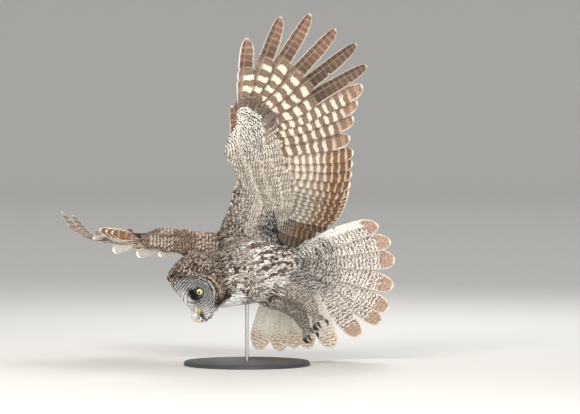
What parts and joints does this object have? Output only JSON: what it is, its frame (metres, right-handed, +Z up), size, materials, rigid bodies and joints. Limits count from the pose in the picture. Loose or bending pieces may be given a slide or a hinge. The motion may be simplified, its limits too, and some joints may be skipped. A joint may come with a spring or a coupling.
{
  "type": "great grey owl, life-size model in flight",
  "caption": "Great grey owl in a banking glide, wings and tail spread, on a round stand with one rod.",
  "frame": {"origin": "middle of the underside of the stand's base", "axes": "+Z up; the owl flies towards -X, a little down and towards -Y, with its belly towards -Y"},
  "size_m": [0.9275, 0.7363, 0.9504],
  "materials": {
    "body_feathers": "soft",
    "wing_feathers": "soft",
    "tail_feathers": "soft",
    "leg_feathers": "soft",
    "eye": "wet",
    "bill": "satin",
    "talon": "gloss",
    "stand": "satin",
    "rod": "brushed"
  },
  "bodies": {
    "root": {"head": "body_feathers", "neck": "body_feathers", "torso": "body_feathers", "tail": "tail_feathers", "wing_left": "wing_feathers", "wing_right": "wing_feathers", "leg_left": "leg_feathers", "leg_right": "leg_feathers", "foot_left": "leg_feathers", "foot_right": "leg_feathers", "eye_left": "eye", "eye_right": "eye", "bill_upper": "bill", "bill_lower": "bill", "talon_left_1": "talon", "talon_left_2": "talon", "talon_left_3": "talon", "talon_left_4": "talon", "talon_right_1": "talon", "talon_right_2": "talon", "talon_right_3": "talon", "talon_right_4": "talon", "stand_base": "stand", "stand_rod": "rod"}
  },
  "joints": []
}
